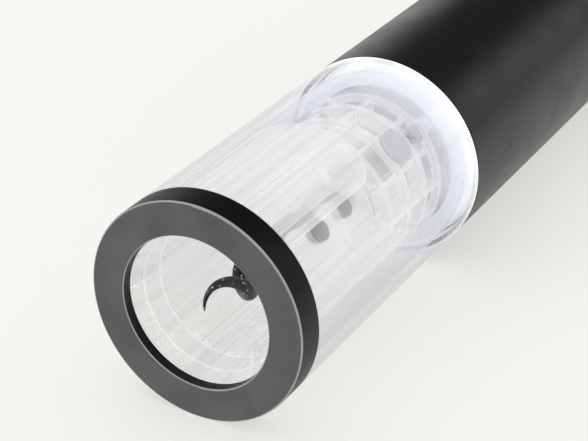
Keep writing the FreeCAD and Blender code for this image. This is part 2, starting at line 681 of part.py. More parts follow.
def planet(angle, start):
    """Planet gear at an angle, with a gap between teeth facing the sun and the ring."""
    x, z = polar(PLANET_CIRCLE, angle)
    phase = math.radians(angle) + math.pi / PLANET_TEETH
    gear = outside_gear(PLANET_TEETH, start, start + FACE_WIDTH, phase, x, z)
    return gear.cut(rod(PIN_R + RUNNING, start, start + FACE_WIDTH, x, z))


def input_carrier():
    """First-stage carrier, made in one piece with the second stage's sun gear."""
    plate = rod(CARRIER_R, INPUT_CARRIER, INPUT_CARRIER + CARRIER_THICKNESS)
    sun = outside_gear(SUN_TEETH, OUTPUT_PLANETS, INPUT_CARRIER)
    return plate.fuse(sun).cut(carrier_pins(INPUT_CARRIER))


def motor_pinion():
    """First-stage sun gear on the motor's shaft."""
    start = INPUT_PLANETS
    gear = outside_gear(SUN_TEETH, start, start + FACE_WIDTH)
    return gear.cut(rod(MOTOR_SHAFT_R, start, start + FACE_WIDTH))


def motor_plate():
    """Plate between gearbox and motor."""
    plate = rod(GEARBOX_R, GEARBOX_END, MOTOR_START)
    plate = plate.cut(rod(MOTOR_BOSS_R + SLIP, GEARBOX_END, MOTOR_START))
    for angle in MOTOR_SCREW_ANGLES:
        x, z = polar(MOTOR_SCREW_CIRCLE, angle)
        plate = plate.cut(rod(SCREW_R, GEARBOX_END, MOTOR_START, x, z))
        plate = plate.cut(rod(SCREW_HEAD_R, GEARBOX_END, GEARBOX_END + SCREW_HEAD_HEIGHT, x, z))
    for angle in GEARBOX_SCREW_ANGLES:
        plate = plate.cut(rod(SCREW_R, GEARBOX_END, MOTOR_START, *polar(GEARBOX_SCREW_CIRCLE, angle)))
    return plate


def motor_screws():
    """Countersunk screws from the plate into the motor's face."""
    length = MOTOR_PLATE - SCREW_HEAD_HEIGHT + MOTOR_WALL
    return at_angles(lambda x, z: screw(x, z, GEARBOX_END, length, SCREW_R, SCREW_HEAD_R),
                     MOTOR_SCREW_CIRCLE, MOTOR_SCREW_ANGLES)


def gearbox_screws():
    """Long screws through plate and ring gear into the bulkhead."""
    head = MOTOR_START + SCREW_HEAD_HEIGHT
    length = MOTOR_START - GEARBOX_SCREW_TIP
    return at_angles(lambda x, z: screw(x, z, head, length, SCREW_R, SCREW_HEAD_R, -1),
                     GEARBOX_SCREW_CIRCLE, GEARBOX_SCREW_ANGLES)


def motor_can():
    """Steel motor can with its front boss."""
    bore = MOTOR_R - MOTOR_WALL
    bearing = MOTOR_SHAFT_R + RUNNING
    boss_front = MOTOR_START - MOTOR_BOSS_LENGTH
    shell = turned([(boss_front, bearing), (boss_front, MOTOR_BOSS_R), (MOTOR_START, MOTOR_BOSS_R),
                    (MOTOR_START, MOTOR_R), (MOTOR_CAP, MOTOR_R), (MOTOR_CAP, bore),
                    (MOTOR_START + MOTOR_WALL, bore), (MOTOR_START + MOTOR_WALL, bearing)])
    for angle in MOTOR_SCREW_ANGLES:
        place = polar(MOTOR_SCREW_CIRCLE, angle)
        shell = shell.cut(rod(SCREW_R, MOTOR_START, MOTOR_START + MOTOR_WALL, *place))
    return shell


def motor_cap():
    """Moulded end cap of the motor with its rear bearing."""
    rim = MOTOR_R - MOTOR_WALL - SLIP
    front = MOTOR_CAP - MOTOR_CAP_SPIGOT
    bearing = MOTOR_SHAFT_R + RUNNING
    return turned([(front, rim), (front, rim - MOTOR_CAP_WALL), (MOTOR_CAP, rim - MOTOR_CAP_WALL),
                   (MOTOR_CAP, bearing), (MOTOR_END, bearing), (MOTOR_END, MOTOR_R), (MOTOR_CAP, MOTOR_R),
                   (MOTOR_CAP, rim)])


def motor_magnets():
    """Pair of arc magnets on the can's wall, open at the top and the bottom."""
    outer = MOTOR_R - MOTOR_WALL
    start, end = rotor_range()
    start, end = start - MAGNET_OVERHANG, end + MAGNET_OVERHANG
    ring = pipe(outer - SLIP, outer - MAGNET_THICKNESS, start, end)
    reach = 2 * MOTOR_R
    spread = reach * math.tan(math.radians(90 - MAGNET_ARC / 2))
    for side in (-1, 1):
        corners = [Vector(x, y_of(start), AXIS_Z + side * z)
                   for x, z in ((0, 0), (spread, reach), (-spread, reach))]
        wedge = Part.Face(Part.makePolygon(corners + corners[:1])).extrude(AXIS * (end - start))
        ring = ring.cut(wedge)
    return ring


def motor_terminals():
    """Two solder tags on the motor's rear."""
    tag = block((-TERMINAL_WIDTH / 2, TERMINAL_WIDTH / 2), (MOTOR_END, MOTOR_END + TERMINAL_LENGTH),
                (TERMINAL_CIRCLE, TERMINAL_CIRCLE + TERMINAL_THICKNESS))
    return Part.Compound([spun(tag, 90), spun(tag, 270)])


def rotor_range():
    """Depths of the rotor's iron core."""
    start = MOTOR_START + MOTOR_WALL + ROTOR_START_GAP
    return start, start + ROTOR_LENGTH


def rotor():
    """Slotted iron core."""
    start, end = rotor_range()
    core = pipe(ROTOR_R, MOTOR_SHAFT_R, start, end)
    slot = block((-ROTOR_SLOT / 2, ROTOR_SLOT / 2), (start, end), (ROTOR_R / 2, 2 * ROTOR_R))
    for i in range(ROTOR_POLES):
        core = core.cut(spun(slot, 360.0 * i / ROTOR_POLES))
    return core


def rotor_windings():
    """End turns of the copper windings, one ring at each end of the core."""
    start, end = rotor_range()
    radius = ROTOR_R * WINDING_REACH
    return Part.Compound([pipe(radius, MOTOR_SHAFT_R, start - WINDING_LENGTH, start),
                          pipe(radius, MOTOR_SHAFT_R, end, end + WINDING_LENGTH)])


def commutator():
    """Copper commutator behind the rotor."""
    start = rotor_range()[1] + WINDING_LENGTH
    return pipe(COMMUTATOR_R, MOTOR_SHAFT_R, start, min(start + COMMUTATOR_LENGTH, MOTOR_CAP - END_PLAY))


def motor_shaft():
    """Shaft through pinion, rotor and both bearings."""
    return rod(MOTOR_SHAFT_R, INPUT_PLANETS, MOTOR_END + SHAFT_PROUD)


# ---- grip ----

def obround(half_width, start, end, bottom, top):
    """Upright prism with round ends, between two depths."""
    pieces = [plug(half_width, 0, depth, bottom, top) for depth in (start + half_width, end - half_width)]
    if end - start > 2 * half_width:
        middle = (start + half_width, end - half_width)
        pieces.append(block((-half_width, half_width), middle, (bottom, top)))
    return joined(pieces)


def bezel_outline(grow):
    """Prism over both buttons, grown by a margin."""
    depths = sorted(BUTTON_DEPTHS.values())
    half = BUTTON_R + grow
    return obround(half, depths[0] - half, depths[-1] + half, MAIN_BOARD_Z, 2 * BODY_R)


def handle_sleeve():
    """One-piece grip sleeve with a window for the button bezel."""
    body = turned([(GRIP_START, SOCKETED_R), (GRIP_START, BODY_R), (SLEEVE_END, BODY_R),
                   (SLEEVE_END, SLEEVE_BORE_R), (BULKHEAD_START, SLEEVE_BORE_R),
                   (BULKHEAD_START, SOCKETED_R)])
    for depth in (GRIP_START, SLEEVE_END):
        body = rounded(body, depth, BODY_R, EDGE_ROUNDING)
    return body.cut(bezel_outline(BEZEL_MARGIN))


def button_bezel():
    """Curved frame round the buttons, let into the sleeve."""
    shell = pipe(BODY_R + BEZEL_LIP, SLEEVE_BORE_R, GRIP_START, SLEEVE_END)
    frame = shell.common(bezel_outline(BEZEL_MARGIN - SLIP))
    for depth in BUTTON_DEPTHS.values():
        frame = frame.cut(plug(BUTTON_R + LOOSE, 0, depth, MAIN_BOARD_Z, 2 * BODY_R))
    return frame


def button(depth):
    """Round push button: dished top, hidden skirt and a stem down to its switch."""
    top = BODY_R + BUTTON_PROUD
    skirt_r = SLEEVE_BORE_R - LOOSE
    cap = plug(BUTTON_R, 0, depth, skirt_r - BUTTON_SKIRT, top)
    rim = [edge for edge in cap.Edges if edge.BoundBox.ZMin > AXIS_Z + top - SLIP]
    cap = cap.makeFillet(BUTTON_ROUNDING, rim)
    centre = Vector(0, y_of(depth), AXIS_Z + top - BUTTON_DISH + BUTTON_DISH_R)
    cap = cap.cut(Part.makeSphere(BUTTON_DISH_R, centre))
    skirt_shell = pipe(skirt_r, skirt_r - BUTTON_SKIRT, GRIP_START, SLEEVE_END)
    skirt = skirt_shell.common(plug(BUTTON_R + BUTTON_SKIRT, 0, depth, MAIN_BOARD_Z, 2 * BODY_R))
    bottom = BOARD_TOP_Z + SWITCH_HEIGHT + PLUNGER_HEIGHT
    stem = plug(STEM_R, 0, depth, bottom, SLEEVE_BORE_R - BUTTON_SKIRT)
    return joined([cap, skirt, stem])


def switch_plunger(depth):
    """Plunger of a tact switch, which moves with its button."""
    bottom = BOARD_TOP_Z + SWITCH_HEIGHT - BUTTON_TRAVEL
    return plug(PLUNGER_R, 0, depth, bottom, BOARD_TOP_Z + SWITCH_HEIGHT + PLUNGER_HEIGHT)


def tact_switches():
    """Two tact switches, each with a well for its plunger."""
    half = SWITCH_SIZE / 2
    bodies = []
    for depth in BUTTON_DEPTHS.values():
        body = block((-half, half), (depth - half, depth + half), (BOARD_TOP_Z, BOARD_TOP_Z + SWITCH_HEIGHT))
        floor = BOARD_TOP_Z + SWITCH_HEIGHT - 2 * BUTTON_TRAVEL - RUNNING
        bodies.append(body.cut(plug(PLUNGER_R + RUNNING, 0, depth, floor, BOARD_TOP_Z + SWITCH_HEIGHT)))
    return Part.Compound(bodies)


def control_board():
    """Main circuit board on top of the cell cradle."""
    half = MAIN_BOARD_WIDTH / 2
    board = block((-half, half), (CRADLE_FRONT, CHASSIS_END), (MAIN_BOARD_Z, BOARD_TOP_Z))
    for x, depth in board_screw_places():
        board = board.cut(plug(SCREW_R, x, depth, MAIN_BOARD_Z, BOARD_TOP_Z))
    return board


def board_screw_places():
    """X and depth of the four board screws."""
    x = MAIN_BOARD_WIDTH / 2 - BOARD_SCREW_INSET
    return [(side * x, depth) for side in (-1, 1)
            for depth in (CRADLE_FRONT + END_PLATE / 2, CHASSIS_END - END_PLATE / 2)]


def board_screws():
    """Small screws that hold the board to the chassis plates."""
    screws = []
    for x, depth in board_screw_places():
        shank = plug(THREAD_CORE * SCREW_R, x, depth, MAIN_BOARD_Z - BOARD_SCREW_DEPTH, BOARD_TOP_Z)
        head = plug(SCREW_HEAD_R, x, depth, BOARD_TOP_Z, BOARD_TOP_Z + SCREW_HEAD_HEIGHT)
        screws.append(shank.fuse(head))
    return Part.Compound(screws)


def saddle(inner, start):
    """Ring-shaped rib that carries a round part inside the chassis."""
    return pipe(CHASSIS_R - CHASSIS_WALL / 2, inner + SLIP, start, start + CHASSIS_RIB)


def chassis_half(sign):
    """Chassis half: the lower one runs the whole length, the upper one ends behind the motor."""
    end = CHASSIS_END if sign < 0 else CRADLE_FRONT
    shell = pipe(CHASSIS_R, CHASSIS_BORE_R, GEARBOX_START, end)
    ribs = []
    for radius, front, back in ((GEARBOX_R, GEARBOX_START, GEARBOX_END), (MOTOR_R, MOTOR_START, MOTOR_CAP)):
        ribs += [saddle(radius, front + RIB_INSET), saddle(radius, back - RIB_INSET - CHASSIS_RIB)]
    half = joined([shell] + ribs).common(half_space(sign))
    return half if sign > 0 else half.fuse(cradle_plates()).removeSplitter()


def cradle_plates():
    """End plates of the cell cradle, tall enough to carry the board."""
    plates = []
    for start in (CRADLE_FRONT, CRADLE_REAR):
        disc = rod(CHASSIS_R - CHASSIS_WALL / 2, start, start + END_PLATE)
        top = block((-BODY_R, BODY_R), (start, start + END_PLATE), (MAIN_BOARD_Z, 2 * BODY_R))
        plate = disc.cut(top)
        for x, depth in board_screw_places():
            pilot = plug(THREAD_CORE * SCREW_R, x, depth, MAIN_BOARD_Z - BOARD_SCREW_DEPTH, MAIN_BOARD_Z)
            plate = plate.cut(pilot)
        plates.append(plate)
    bosses = [rod(REAR_BOSS_R, CHASSIS_END, SLEEVE_END, x)
              .cut(rod(REAR_SCREW_R, SLEEVE_END - REAR_PILOT_DEPTH, SLEEVE_END, x))
              for x in (-REAR_SCREW_OFFSET, REAR_SCREW_OFFSET)]
    return joined(plates + bosses)


def cells():
    """Two lithium cells side by side, each with its terminal."""
    made = []
    for side in (-1, 1):
        x = side * CELL_SPACING / 2
        can = rod(CELL_R, CELL_START, CELL_END, x, -CELL_DROP)
        tip = rod(CELL_TERMINAL_R, CELL_START - CELL_TERMINAL, CELL_START, x, -CELL_DROP)
        made.append(can.fuse(tip))
    return Part.Compound(made)


def cell_contacts():
    """Nickel strips at both ends of the cells."""
    reach = CELL_SPACING / 2 + CONTACT_HALF_WIDTH
    heights = (-CELL_DROP - CONTACT_HALF_WIDTH, -CELL_DROP + CONTACT_HALF_WIDTH)
    return Part.Compound([block((-reach, reach), (start, start + CONTACT_THICKNESS), heights)
                          for start in (CELL_START - CELL_TERMINAL - CONTACT_THICKNESS, CELL_END)])


# ---- rear ----

def rear_cap():
    """Rear cap with a spigot, the socket's hole and two screw pockets."""
    cap = rounded(rod(BODY_R, SLEEVE_END, LENGTH), LENGTH, BODY_R, CAP_ROUNDING)
    cap = rounded(cap, SLEEVE_END, BODY_R, EDGE_ROUNDING)
    spigot = pipe(SLEEVE_BORE_R - SLIP, SLEEVE_BORE_R - CHASSIS_WALL, SLEEVE_END - SPIGOT_LENGTH, SLEEVE_END)
    cap = cap.fuse(spigot).cut(rod(SOCKET_R + SLIP, SLEEVE_END, LENGTH))
    for x in (-REAR_SCREW_OFFSET, REAR_SCREW_OFFSET):
        cap = cap.cut(rod(REAR_SCREW_R, SLEEVE_END, LENGTH, x))
        cap = cap.cut(rod(REAR_HEAD_R + SLIP, LENGTH - CAP_THICKNESS / 2, LENGTH, x))
    return cap


def rear_screws():
    """Screws from the rear cap's pockets into the chassis bosses."""
    head = LENGTH - CAP_THICKNESS / 2 + SCREW_HEAD_HEIGHT
    length = CAP_THICKNESS / 2 + REAR_SCREW_GRIP
    return Part.Compound([screw(x, 0, head, length, REAR_SCREW_R, REAR_HEAD_R, -1)
                          for x in (-REAR_SCREW_OFFSET, REAR_SCREW_OFFSET)])


def charge_socket():
    """Round charging socket with its centre contact."""
    end = LENGTH - SOCKET_RECESS
    start = end - SOCKET_LENGTH
    barrel = rod(SOCKET_R, start, end).cut(rod(SOCKET_BORE_R, end - SOCKET_BORE_DEPTH, end))
    return barrel.fuse(rod(SOCKET_PIN_R, end - SOCKET_BORE_DEPTH, end - SOCKET_PIN_RECESS))


def socket_nut():
    """Hexagon nut that clamps the socket behind the cap."""
    corners = [Vector(NUT_R * math.sin(a), y_of(SLEEVE_END - NUT_HEIGHT), AXIS_Z + NUT_R * math.cos(a))
               for a in (math.pi / 3 * i for i in range(6))]
    prism = Part.Face(Part.makePolygon(corners + corners[:1])).extrude(AXIS * NUT_HEIGHT)
    return prism.cut(rod(SOCKET_R, SLEEVE_END - NUT_HEIGHT, SLEEVE_END))


def build_parts():
    """Every node by name."""
    parts = {
        "end_ring": end_ring(), "clear_tube": clear_tube(),
        "guide_upper": guide_half(1), "guide_lower": guide_half(-1), "guide_screws": guide_screws(),
        "guide_pads": guide_pads(), "side_lenses": side_lenses(),
        "light_ring": light_ring(), "led_board": led_board(), "leds": leds(),
        "bulkhead": bulkhead(), "spindle_bush": spindle_bush(), "ring_gear": ring_gear(),
        "motor_plate": motor_plate(), "motor_screws": motor_screws(), "gearbox_screws": gearbox_screws(),
        "motor_can": motor_can(), "motor_cap": motor_cap(), "motor_magnets": motor_magnets(),
        "motor_terminals": motor_terminals(),
        "worm": worm(), "spindle": spindle(), "spindle_clip": spindle_clip(),
        "output_carrier": output_carrier(), "output_pins": carrier_pins(OUTPUT_CARRIER),
        "input_carrier": input_carrier(), "input_pins": carrier_pins(INPUT_CARRIER),
        "motor_pinion": motor_pinion(), "motor_shaft": motor_shaft(), "rotor": rotor(),
        "rotor_windings": rotor_windings(), "commutator": commutator(),
        "handle_sleeve": handle_sleeve(), "button_bezel": button_bezel(),
        "chassis_lower": chassis_half(-1), "chassis_upper": chassis_half(1),
        "cells": cells(), "cell_contacts": cell_contacts(), "control_board": control_board(),
        "board_screws": board_screws(), "tact_switches": tact_switches(),
        "rear_cap": rear_cap(), "rear_screws": rear_screws(), "charge_socket": charge_socket(),
        "socket_nut": socket_nut(),
    }
    for i, angle in enumerate(PLANET_ANGLES, start=1):
        parts[f"output_planet_{i}"] = planet(angle, OUTPUT_PLANETS)
        parts[f"input_planet_{i}"] = planet(angle, INPUT_PLANETS)
    for name, depth in BUTTON_DEPTHS.items():
        parts[name] = button(depth)
        parts[name.replace("button", "plunger")] = switch_plunger(depth)
    return parts


os.makedirs("parts", exist_ok=True)
for node, shape in build_parts().items():
    shape.exportStep(f"parts/{node}.step")
    print(f"{node:18s} solids {len(shape.Solids)}  valid {shape.isValid()}  volume {shape.Volume:10.2f}")
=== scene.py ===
"""Looks of a cordless electric wine opener: finishes, fine pieces, studio and camera."""

import json
import logging
import math
from dataclasses import dataclass, field
from enum import Enum
from typing import Sequence

import bmesh
import bpy
from mathutils import Matrix, Vector


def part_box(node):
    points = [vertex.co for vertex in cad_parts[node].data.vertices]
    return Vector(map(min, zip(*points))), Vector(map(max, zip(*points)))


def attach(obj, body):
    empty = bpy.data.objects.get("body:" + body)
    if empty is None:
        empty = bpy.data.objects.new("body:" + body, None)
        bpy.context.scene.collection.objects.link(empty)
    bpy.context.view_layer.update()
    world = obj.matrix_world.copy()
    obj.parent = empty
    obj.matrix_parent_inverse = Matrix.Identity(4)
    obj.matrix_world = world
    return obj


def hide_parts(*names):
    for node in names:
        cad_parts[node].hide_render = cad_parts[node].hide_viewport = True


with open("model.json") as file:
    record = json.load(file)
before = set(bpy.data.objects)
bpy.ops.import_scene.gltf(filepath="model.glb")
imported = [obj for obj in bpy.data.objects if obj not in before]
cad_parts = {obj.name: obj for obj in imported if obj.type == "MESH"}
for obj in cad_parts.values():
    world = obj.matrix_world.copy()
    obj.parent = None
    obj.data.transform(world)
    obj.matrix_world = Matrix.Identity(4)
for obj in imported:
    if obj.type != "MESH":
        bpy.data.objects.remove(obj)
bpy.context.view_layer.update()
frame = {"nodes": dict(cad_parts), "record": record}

logging.basicConfig(level=logging.INFO, format="%(name)s: %(message)s")
LOG = logging.getLogger("opener")

MM = 0.001
HOUSING = "housing"
AXIS = Vector((0.0, 1.0, 0.0))
Colour = tuple[float, float, float]
Socket = bpy.types.NodeSocket

NOISE_LOW, NOISE_HIGH = 0.3, 0.7        # where a noise pattern starts and stops to count
GRAIN_RELIEF = 0.06 * MM                # height of moulding grain
EDGE_SAMPLES = 8                        # rays of the rounded normal behind an edge mask
EDGE_SHARP, EDGE_FLAT = 0.80, 0.97      # agreement of rounded and real normal at an edge and off it
LONG_STREAK, LONG_LINE = 0.03, 0.02     # how far marks are drawn out along the opener


def corner(node: str, end: int) -> Vector:
    """Lowest (0) or highest (1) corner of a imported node."""
    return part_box(node)[end]


MOUTH_Y: float = corner("end_ring", 0).y
AXIS_Z: float = (corner("end_ring", 0).z + corner("end_ring", 1).z) / 2
BODY_R: float = (corner("end_ring", 1).x - corner("end_ring", 0).x) / 2
GRIP_Y: float = corner("handle_sleeve", 0).y


# ---------------------------------------------------------------- shader helpers


class Sheet:
    """A node tree with short calls for adding and joining nodes."""

    def __init__(self, tree: bpy.types.NodeTree) -> None:
        """Starts on an existing tree."""
        self.tree = tree

    def node(self, kind: str, **settings: object) -> bpy.types.Node:
        """Adds a node.

        Args:
            kind: Blender's name of the node type.
            settings: attributes of the node.

        Returns:
            The new node.
        """
        made = self.tree.nodes.new(kind)
        for name, value in settings.items():
            setattr(made, name, value)
        return made

    def join(self, source: Socket, target: Socket) -> None:
        """Links two sockets."""
        self.tree.links.new(source, target)

    def noise(self, place: Socket, scale: float, detail: float = 2.0, roughness: float = 0.5) -> Socket:
        """Adds a noise pattern.

        Args:
            place: coordinates that the pattern reads.
            scale: features per metre.
            detail: octaves.
            roughness: strength of the finer octaves.

        Returns:
            The pattern's factor.
        """
        made = self.node("ShaderNodeTexNoise")
        made.inputs["Scale"].default_value = scale
        made.inputs["Detail"].default_value = detail
        made.inputs["Roughness"].default_value = roughness
        self.join(place, made.inputs["Vector"])
        return made.outputs["Fac"]

    def remap(self, value: Socket, low: float, high: float, to_low: float, to_high: float) -> Socket:
        """Maps a value from one range to another, clamped."""
        made = self.node("ShaderNodeMapRange")
        self.join(value, made.inputs["Value"])
        for name, number in (("From Min", low), ("From Max", high), ("To Min", to_low), ("To Max", to_high)):
            made.inputs[name].default_value = number
        return made.outputs["Result"]

    def level(self, pattern: Socket, low: float, high: float) -> Socket:
        """Maps the middle range of a noise pattern to two values."""
        return self.remap(pattern, NOISE_LOW, NOISE_HIGH, low, high)

    def stretched(self, place: Socket, scale: tuple[float, float, float]) -> Socket:
        """Scales coordinates, so that a pattern read at them is drawn out."""
        made = self.node("ShaderNodeMapping")
        made.inputs["Scale"].default_value = scale
        self.join(place, made.inputs["Vector"])
        return made.outputs["Vector"]

    def math(self, operation: str, first: Socket, second: Socket | float) -> Socket:
        """Joins two values by an arithmetic operation."""
        made = self.node("ShaderNodeMath", operation=operation)
        self.join(first, made.inputs[0])
        if isinstance(second, (int, float)):
            made.inputs[1].default_value = second
        else:
            self.join(second, made.inputs[1])
        return made.outputs[0]

    def mix(self, factor: Socket, first: Colour | Socket, second: Colour | Socket) -> Socket:
        """Mixes two colours by a factor."""
        made = self.node("ShaderNodeMix", data_type="RGBA")
        self.join(factor, made.inputs[0])
        for index, colour in ((6, first), (7, second)):
            if isinstance(colour, tuple):
                made.inputs[index].default_value = (*colour, 1.0)
            else:
                self.join(colour, made.inputs[index])
        return made.outputs[2]

    def edges(self, width: float, strength: float) -> Socket:
        """Builds a mask of sharp edges from how far a rounded normal leaves the real one.

        Args:
            width: reach of the mask from an edge, in metres.
            strength: the mask's value on an edge.

        Returns:
            The mask.
        """
        rounded = self.node("ShaderNodeBevel", samples=EDGE_SAMPLES)
        rounded.inputs["Radius"].default_value = width
        real = self.node("ShaderNodeNewGeometry")
        match = self.node("ShaderNodeVectorMath", operation="DOT_PRODUCT")
        self.join(rounded.outputs["Normal"], match.inputs[0])
        self.join(real.outputs["Normal"], match.inputs[1])
        return self.remap(match.outputs["Value"], EDGE_SHARP, EDGE_FLAT, strength, 0.0)

    def bump(self, height: Socket, strength: float, distance: float) -> Socket:
        """Turns a height into a normal."""
        made = self.node("ShaderNodeBump")
        made.inputs["Strength"].default_value = strength
        made.inputs["Distance"].default_value = distance
        self.join(height, made.inputs["Height"])
        return made.outputs["Normal"]


class Effect(Enum):
    """Shader effects that several finishes share."""

    GRAIN = "moulding_grain"
    WEAR = "edge_wear"
    DUST = "settled_dust"
    SPECKLE = "coating_speckle"


def new_group(effect: Effect, inputs: dict[str, float], outputs: Sequence[str]) -> tuple[Sheet, dict, dict]:
    """Starts a shader group.

    Args:
        effect: which effect it is.
        inputs: named numbers with their defaults.
        outputs: names of its value outputs.

    Returns:
        The sheet, and its input and output sockets by name.
    """
    tree = bpy.data.node_groups.new(effect.value, "ShaderNodeTree")
    tree.interface.new_socket("Place", in_out="INPUT", socket_type="NodeSocketVector")
    for name, default in inputs.items():
        socket = tree.interface.new_socket(name, in_out="INPUT", socket_type="NodeSocketFloat")
        socket.default_value = default
    for name in outputs:
        tree.interface.new_socket(name, in_out="OUTPUT", socket_type="NodeSocketFloat")
    sheet = Sheet(tree)
    entry = sheet.node("NodeGroupInput")
    leave = sheet.node("NodeGroupOutput")
    return sheet, {s.name: s for s in entry.outputs}, {s.name: s for s in leave.inputs}


def grain_group() -> None:
    """Builds the fine spark-eroded grain of moulded plastic."""
    sheet, given, result = new_group(Effect.GRAIN, {"Scale": 2600.0}, ("Height", "Shade"))
    fine = sheet.node("ShaderNodeTexNoise")
    fine.inputs["Detail"].default_value = 3.0
    sheet.join(given["Place"], fine.inputs["Vector"])
    sheet.join(given["Scale"], fine.inputs["Scale"])
    coarse = sheet.noise(given["Place"], 90.0, 3.0)
    sheet.join(fine.outputs["Fac"], result["Height"])
    sheet.join(coarse, result["Shade"])


def wear_group() -> None:
    """Builds a mask that is strong on sharp outer edges and broken up by noise."""
    sheet, given, result = new_group(Effect.WEAR, {"Edge": 0.53}, ("Mask",))
    shape = sheet.node("ShaderNodeNewGeometry")
    lifted = sheet.math("SUBTRACT", shape.outputs["Pointiness"], 0.5)
    broken = sheet.noise(given["Place"], 700.0, 4.0)
    spread = sheet.math("SUBTRACT", given["Edge"], 0.5)
    edge = sheet.math("DIVIDE", lifted, spread)
    clipped = sheet.remap(edge, 0.3, 1.0, 0.0, 1.0)
    sheet.join(sheet.math("MULTIPLY", clipped, broken), result["Mask"])


def dust_group() -> None:
    """Builds a mask of fine dust that lies on faces that look up."""
    sheet, given, result = new_group(Effect.DUST, {"Amount": 0.5}, ("Mask",))
    shape = sheet.node("ShaderNodeNewGeometry")
    split = sheet.node("ShaderNodeSeparateXYZ")
    sheet.join(shape.outputs["Normal"], split.inputs[0])
    upward = sheet.remap(split.outputs["Z"], 0.2, 1.0, 0.0, 1.0)
    patches = sheet.remap(sheet.noise(given["Place"], 45.0, 6.0, 0.65), 0.45, 0.75, 0.0, 1.0)
    specks = sheet.remap(sheet.noise(given["Place"], 2200.0, 1.0), 0.66, 0.74, 0.0, 1.0)
    both = sheet.math("MAXIMUM", sheet.math("MULTIPLY", patches, 0.35), specks)
    scaled = sheet.math("MULTIPLY", both, given["Amount"])
    sheet.join(sheet.math("MULTIPLY", scaled, upward), result["Mask"])


def speckle_group() -> None:
    """Builds scattered pale flecks of a sprayed non-stick coating."""
    sheet, given, result = new_group(Effect.SPECKLE, {"Scale": 1500.0}, ("Flecks", "Height"))
    cells = sheet.node("ShaderNodeTexVoronoi")
    sheet.join(given["Place"], cells.inputs["Vector"])
    sheet.join(given["Scale"], cells.inputs["Scale"])
    near = sheet.remap(cells.outputs["Distance"], 0.16, 0.34, 1.0, 0.0)
    chosen = sheet.remap(sheet.noise(given["Place"], 900.0, 2.0), 0.5, 0.6, 0.0, 1.0)
    sheet.join(sheet.math("MULTIPLY", near, chosen), result["Flecks"])
    sheet.join(sheet.noise(given["Place"], 2600.0, 3.0), result["Height"])


def place_effect(sheet: Sheet, effect: Effect, place: Socket, **numbers: float) -> dict[str, Socket]:
    """Puts a shared effect into a material.

    Args:
        sheet: the material's sheet.
        effect: which effect.
        place: coordinates that it reads.
        numbers: values for its inputs.

    Returns:
        The group's outputs by name.
    """
    made = sheet.node("ShaderNodeGroup", node_tree=bpy.data.node_groups[effect.value])
    sheet.join(place, made.inputs["Place"])
    for name, value in numbers.items():
        made.inputs[name].default_value = value
    return {s.name: s for s in made.outputs}


class Finish:
    """Base of every finish: starts a material with a Principled shader and Object coordinates."""

    name: str

    def start(self) -> tuple[bpy.types.Material, Sheet, bpy.types.Node, Socket]:
        """Makes the empty material.

        Returns:
            The material, its sheet, its Principled node and the Object coordinates.
        """
        material = bpy.data.materials.new(f"{self.name}_finish")
        material.use_nodes = True
        sheet = Sheet(material.node_tree)
        shader = material.node_tree.nodes["Principled BSDF"]
        place = sheet.node("ShaderNodeTexCoord").outputs["Object"]
        return material, sheet, shader, place

    def material(self) -> bpy.types.Material:
        """Builds the finish's material."""
        raise NotImplementedError


@dataclass(frozen=True)
class MouldedPlastic(Finish):
    """Opaque moulded plastic with a fine grain, paler edges and a little dust."""

    name: str
    colour: Colour
    roughness: float = 0.45
    grain_scale: float = 2600.0
    grain_depth: float = 0.25
    wear: float = 0.25
    dust: float = 0.3
    specular: float = 0.5

    def material(self) -> bpy.types.Material:
        """Builds the plastic."""
        material, sheet, shader, place = self.start()
        grain = place_effect(sheet, Effect.GRAIN, place, Scale=self.grain_scale)
        wear = place_effect(sheet, Effect.WEAR, place, Edge=0.54)["Mask"]
        dust = place_effect(sheet, Effect.DUST, place, Amount=self.dust)["Mask"]
        darker = tuple(c * 0.85 for c in self.colour)
        lighter = tuple(min(1.0, c * 1.15) for c in self.colour)
        worn = tuple(min(1.0, c + self.wear * 0.12) for c in self.colour)
        dusty = tuple(min(1.0, c + 0.10) for c in self.colour)
        base = sheet.mix(sheet.level(grain["Shade"], 0.0, 1.0), darker, lighter)
        base = sheet.mix(sheet.math("MULTIPLY", wear, self.wear), base, worn)
        base = sheet.mix(dust, base, dusty)
        sheet.join(base, shader.inputs["Base Color"])
        rough = sheet.level(grain["Shade"], self.roughness - 0.04, self.roughness + 0.05)
        sheet.join(rough, shader.inputs["Roughness"])
        sheet.join(sheet.bump(grain["Height"], self.grain_depth, GRAIN_RELIEF), shader.inputs["Normal"])
        shader.inputs["Specular IOR Level"].default_value = self.specular
        return material


